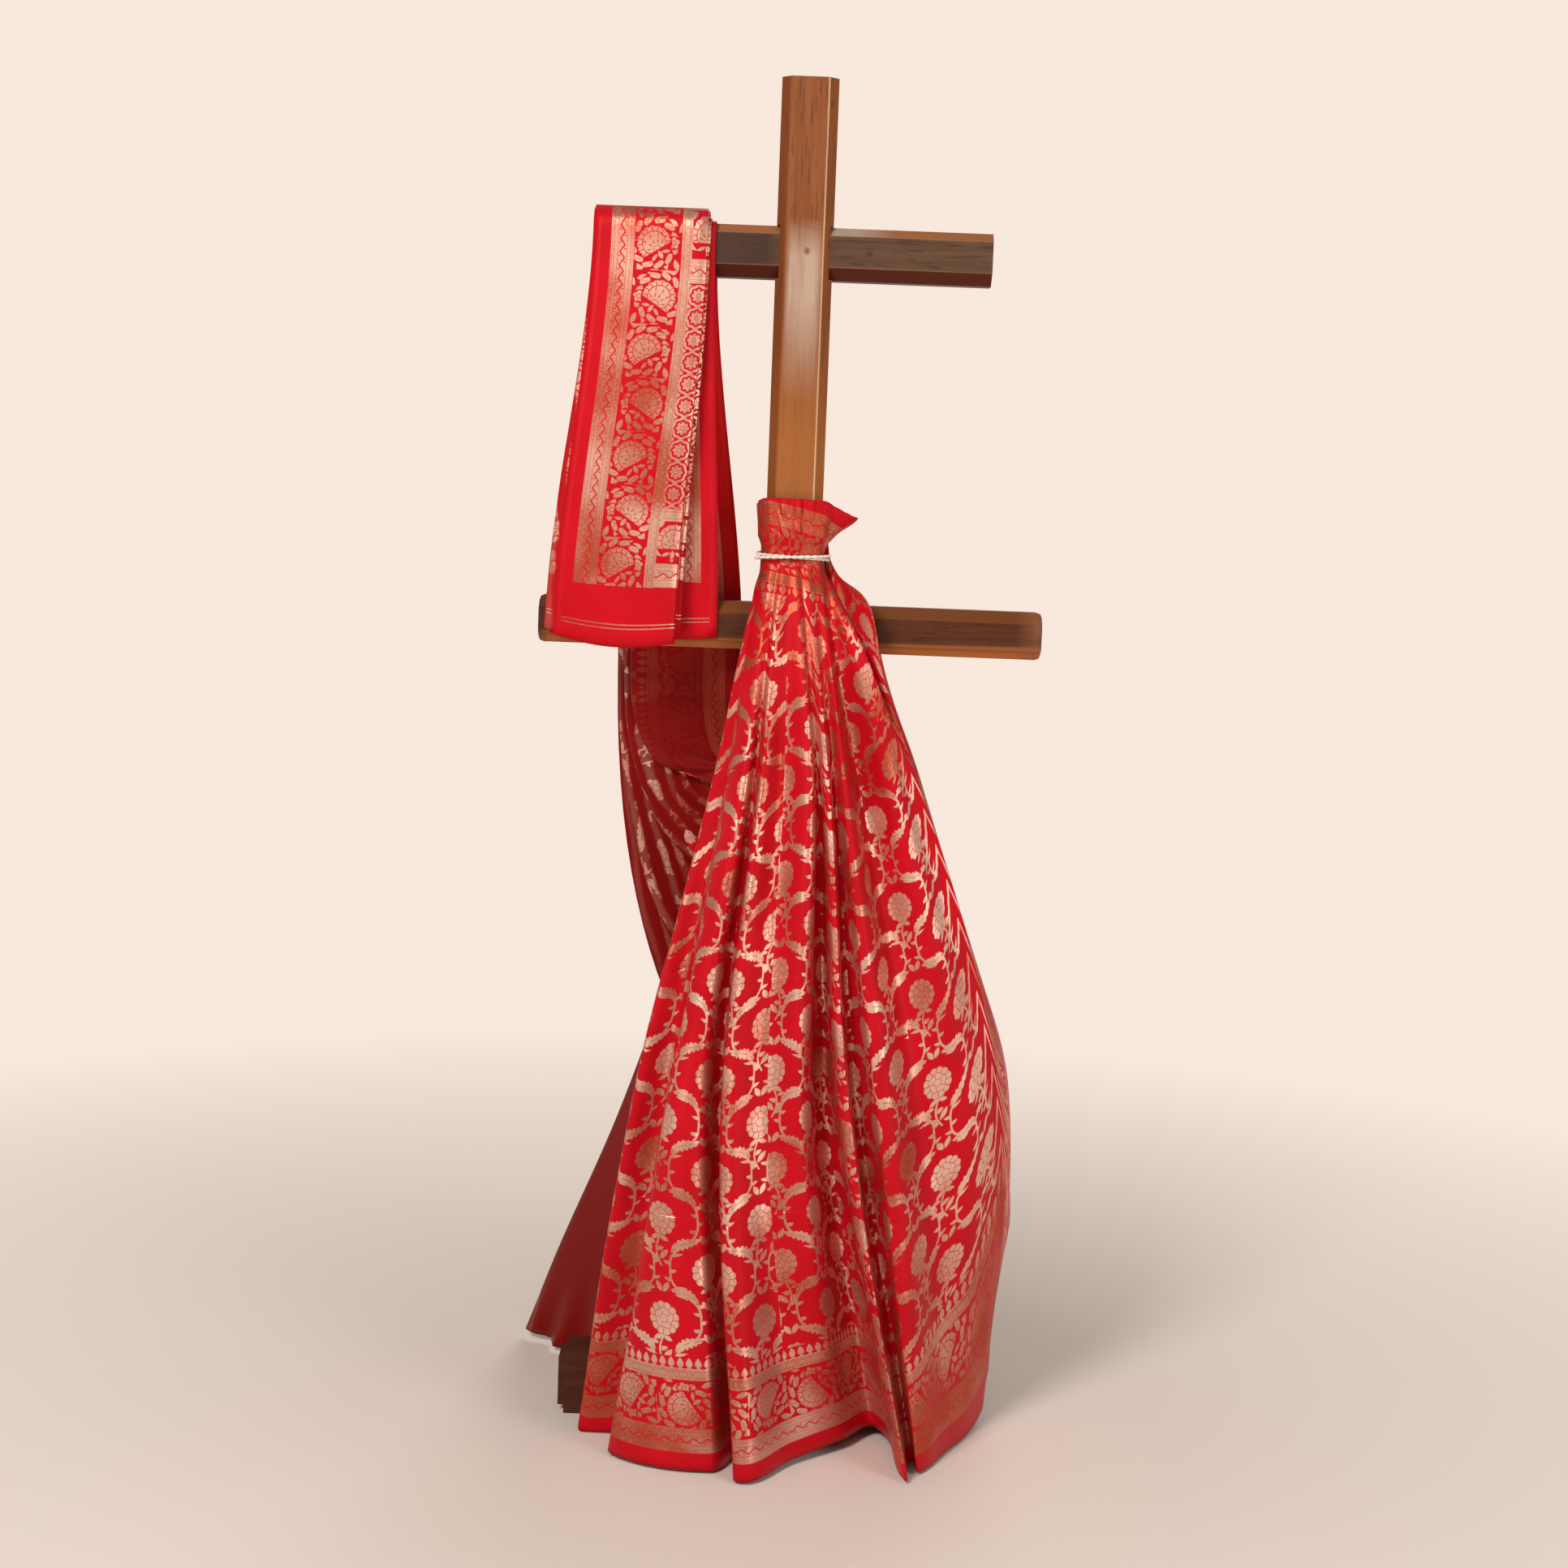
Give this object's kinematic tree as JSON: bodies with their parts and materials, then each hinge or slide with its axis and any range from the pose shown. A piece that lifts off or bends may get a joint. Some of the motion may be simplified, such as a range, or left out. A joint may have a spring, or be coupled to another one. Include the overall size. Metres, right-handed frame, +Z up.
{
  "type": "silk zari sari on wooden cross stand",
  "caption": "Silk sari with a zari border, folded over one arm of a wooden cross stand, swept behind the post and tied round it so that the rest falls as a gathered skirt.",
  "frame": {"origin": "on the floor under the post's axis", "axes": "+Z up along the post, the tied front of the sari towards -Y, the arm with the folded end towards -X"},
  "size_m": [0.6191, 0.4767, 1.6],
  "materials": {
    "stand_wood": "oiled, worn at the edges",
    "base_wood": "dark stain",
    "crimson_silk": "crimson silk with pale gold zari weave",
    "tie_cotton": "undyed cotton string"
  },
  "bodies": {
    "root": {"post": "stand_wood", "upper_crossbar": "stand_wood", "lower_crossbar": "stand_wood", "base_rail": "base_wood", "base_foot": "base_wood", "sari": "crimson_silk", "tie_cord": "tie_cotton"}
  },
  "joints": []
}
